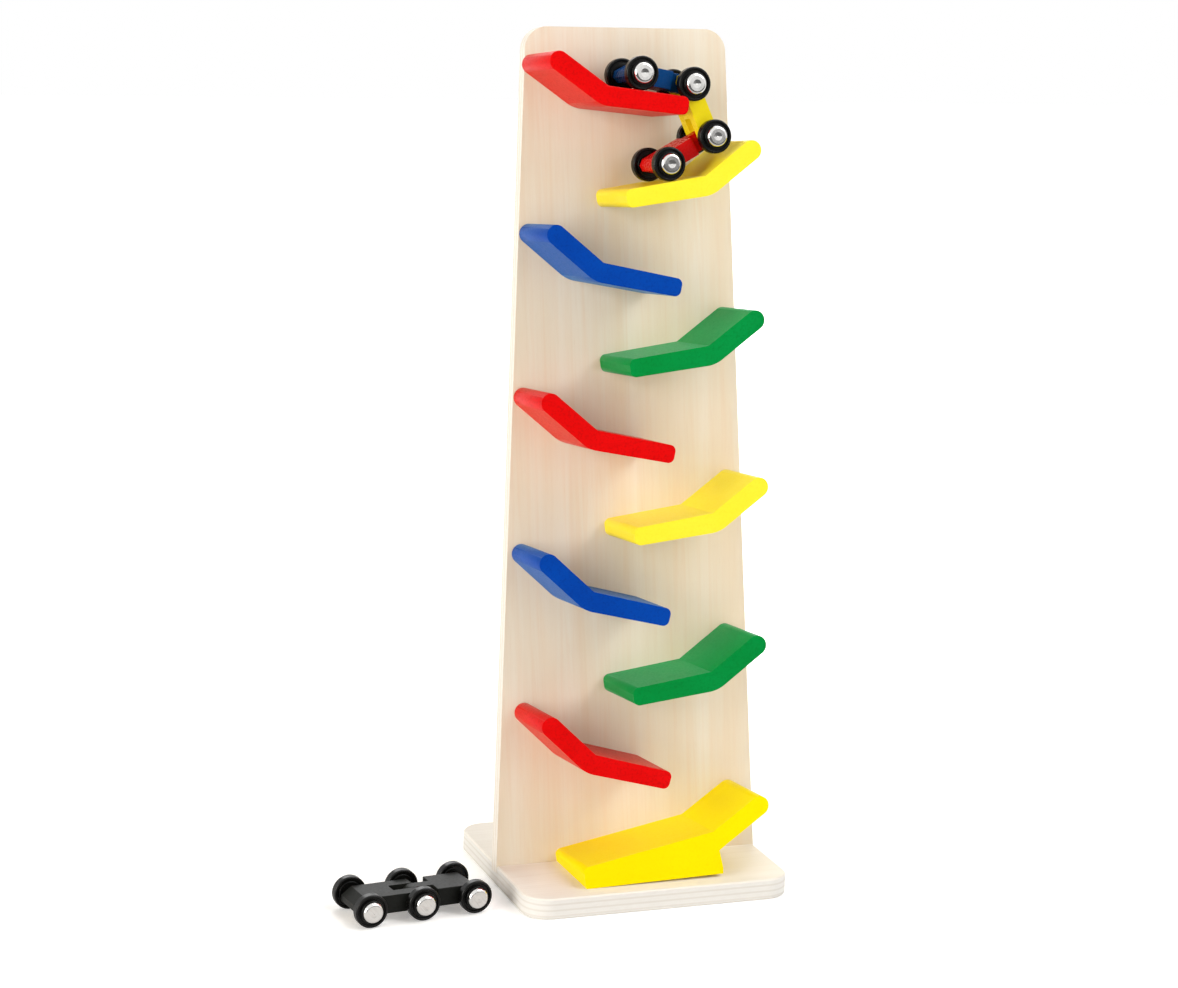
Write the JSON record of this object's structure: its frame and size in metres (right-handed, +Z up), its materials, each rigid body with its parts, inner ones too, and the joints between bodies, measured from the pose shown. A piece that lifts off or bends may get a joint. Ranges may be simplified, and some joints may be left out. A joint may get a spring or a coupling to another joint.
{
  "type": "click clack track toy",
  "caption": "Leaning plywood tower on a board, with bent painted ramps that pass jointed toy cars from side to side; one car on the ramps, one beside it.",
  "frame": {"origin": "centre of the base board's underside", "axes": "+X to the right along the panel's foot, +Y to the back, +Z up"},
  "size_m": [0.2606, 0.136, 0.4868],
  "materials": {
    "whitewashed_plywood": "pale whitewash under matt lacquer, plies on the edge",
    "maple_plywood": "clear matt lacquer over fine upright grain",
    "paint_red": "satin red paint on wood",
    "paint_yellow": "satin yellow paint on wood",
    "paint_blue": "satin blue paint on wood",
    "paint_green": "satin green paint on wood",
    "car_blue": "gloss blue lacquer",
    "car_yellow": "gloss yellow lacquer",
    "car_red": "gloss red lacquer",
    "car_black": "satin black paint",
    "wheel_black": "black moulded plastic, slightly glossy",
    "hub_chrome": "bright pressed cap",
    "axle_steel": "bare steel pin",
    "zinc_screw": "zinc plated wood screw"
  },
  "bodies": {
    "tower": {"base_board": "whitewashed_plywood", "tower_panel": "maple_plywood", "base_screws": "zinc_screw", "ramp_screws": "zinc_screw", "ramp_1": "paint_red", "ramp_2": "paint_yellow", "ramp_3": "paint_blue", "ramp_4": "paint_green", "ramp_5": "paint_red", "ramp_6": "paint_yellow", "ramp_7": "paint_blue", "ramp_8": "paint_green", "ramp_9": "paint_red", "bottom_ramp": "paint_yellow"},
    "blue_link": {"blue_car_body": "car_blue", "color_axle_1": "axle_steel", "color_caps_1": "hub_chrome"},
    "yellow_link": {"yellow_car_body": "car_yellow", "color_axle_2": "axle_steel", "color_caps_2": "hub_chrome", "color_axle_3": "axle_steel", "color_caps_3": "hub_chrome"},
    "red_link": {"red_car_body": "car_red", "color_axle_4": "axle_steel", "color_caps_4": "hub_chrome"},
    "black_rear_link": {"black_rear_body": "car_black", "black_axle_1": "axle_steel", "black_caps_1": "hub_chrome", "black_axle_2": "axle_steel", "black_caps_2": "hub_chrome"},
    "black_front_link": {"black_front_body": "car_black", "black_axle_3": "axle_steel", "black_caps_3": "hub_chrome"},
    "color_wheel_1_near": {"color_wheel_1_near": "wheel_black"},
    "color_wheel_1_far": {"color_wheel_1_far": "wheel_black"},
    "color_wheel_2_near": {"color_wheel_2_near": "wheel_black"},
    "color_wheel_2_far": {"color_wheel_2_far": "wheel_black"},
    "color_wheel_3_near": {"color_wheel_3_near": "wheel_black"},
    "color_wheel_3_far": {"color_wheel_3_far": "wheel_black"},
    "color_wheel_4_near": {"color_wheel_4_near": "wheel_black"},
    "color_wheel_4_far": {"color_wheel_4_far": "wheel_black"},
    "black_wheel_1_near": {"black_wheel_1_near": "wheel_black"},
    "black_wheel_1_far": {"black_wheel_1_far": "wheel_black"},
    "black_wheel_2_near": {"black_wheel_2_near": "wheel_black"},
    "black_wheel_2_far": {"black_wheel_2_far": "wheel_black"},
    "black_wheel_3_near": {"black_wheel_3_near": "wheel_black"},
    "black_wheel_3_far": {"black_wheel_3_far": "wheel_black"}
  },
  "joints": [
    {"name": "color_car_lift_off", "type": "slide", "parent": "tower", "child": "red_link", "axis": [0, -0.9943, 0.1063], "range_m": [0, 0.06]},
    {"name": "yellow_link_hinge", "type": "hinge", "parent": "red_link", "child": "yellow_link", "pos_m": [0.03631, 0.00939, 0.42835], "axis": [0, -0.9943, 0.1063], "range_deg": [-60, 0]},
    {"name": "blue_link_hinge", "type": "hinge", "parent": "yellow_link", "child": "blue_link", "pos_m": [0.02369, 0.01246, 0.45704], "axis": [0, -0.9943, 0.1063], "range_deg": [-100, 0]},
    {"name": "black_car_roll", "type": "slide", "parent": "tower", "child": "black_rear_link", "axis": [0.993, 0.1184, 0], "range_m": [-0.06, 0.012]},
    {"name": "black_link_hinge", "type": "hinge", "parent": "black_rear_link", "child": "black_front_link", "pos_m": [-0.13778, -0.0332, 0.0095], "axis": [0.1184, -0.993, 0], "range_deg": [0, 75]},
    {"name": "color_wheel_1_near_spin", "type": "hinge", "parent": "blue_link", "child": "color_wheel_1_near", "pos_m": [-0.0073, 0.01306, 0.46268], "axis": [0, -0.9943, 0.1063], "continuous": true},
    {"name": "color_wheel_1_far_spin", "type": "hinge", "parent": "blue_link", "child": "color_wheel_1_far", "pos_m": [-0.0073, 0.01306, 0.46268], "axis": [0, -0.9943, 0.1063], "continuous": true},
    {"name": "color_wheel_2_near_spin", "type": "hinge", "parent": "yellow_link", "child": "color_wheel_2_near", "pos_m": [0.02369, 0.01246, 0.45704], "axis": [0, -0.9943, 0.1063], "continuous": true},
    {"name": "color_wheel_2_far_spin", "type": "hinge", "parent": "yellow_link", "child": "color_wheel_2_far", "pos_m": [0.02369, 0.01246, 0.45704], "axis": [0, -0.9943, 0.1063], "continuous": true},
    {"name": "color_wheel_3_near_spin", "type": "hinge", "parent": "yellow_link", "child": "color_wheel_3_near", "pos_m": [0.03631, 0.00939, 0.42835], "axis": [0, -0.9943, 0.1063], "continuous": true},
    {"name": "color_wheel_3_far_spin", "type": "hinge", "parent": "yellow_link", "child": "color_wheel_3_far", "pos_m": [0.03631, 0.00939, 0.42835], "axis": [0, -0.9943, 0.1063], "continuous": true},
    {"name": "color_wheel_4_near_spin", "type": "hinge", "parent": "red_link", "child": "color_wheel_4_near", "pos_m": [0.00877, 0.00777, 0.41314], "axis": [0, -0.9943, 0.1063], "continuous": true},
    {"name": "color_wheel_4_far_spin", "type": "hinge", "parent": "red_link", "child": "color_wheel_4_far", "pos_m": [0.00877, 0.00777, 0.41314], "axis": [0, -0.9943, 0.1063], "continuous": true},
    {"name": "black_wheel_1_near_spin", "type": "hinge", "parent": "black_rear_link", "child": "black_wheel_1_near", "pos_m": [-0.16906, -0.03693, 0.0095], "axis": [0.1184, -0.993, 0], "continuous": true},
    {"name": "black_wheel_1_far_spin", "type": "hinge", "parent": "black_rear_link", "child": "black_wheel_1_far", "pos_m": [-0.16906, -0.03693, 0.0095], "axis": [0.1184, -0.993, 0], "continuous": true},
    {"name": "black_wheel_2_near_spin", "type": "hinge", "parent": "black_rear_link", "child": "black_wheel_2_near", "pos_m": [-0.13778, -0.0332, 0.0095], "axis": [0.1184, -0.993, 0], "continuous": true},
    {"name": "black_wheel_2_far_spin", "type": "hinge", "parent": "black_rear_link", "child": "black_wheel_2_far", "pos_m": [-0.13778, -0.0332, 0.0095], "axis": [0.1184, -0.993, 0], "continuous": true},
    {"name": "black_wheel_3_near_spin", "type": "hinge", "parent": "black_front_link", "child": "black_wheel_3_near", "pos_m": [-0.1065, -0.02947, 0.0095], "axis": [0.1184, -0.993, 0], "continuous": true},
    {"name": "black_wheel_3_far_spin", "type": "hinge", "parent": "black_front_link", "child": "black_wheel_3_far", "pos_m": [-0.1065, -0.02947, 0.0095], "axis": [0.1184, -0.993, 0], "continuous": true}
  ]
}
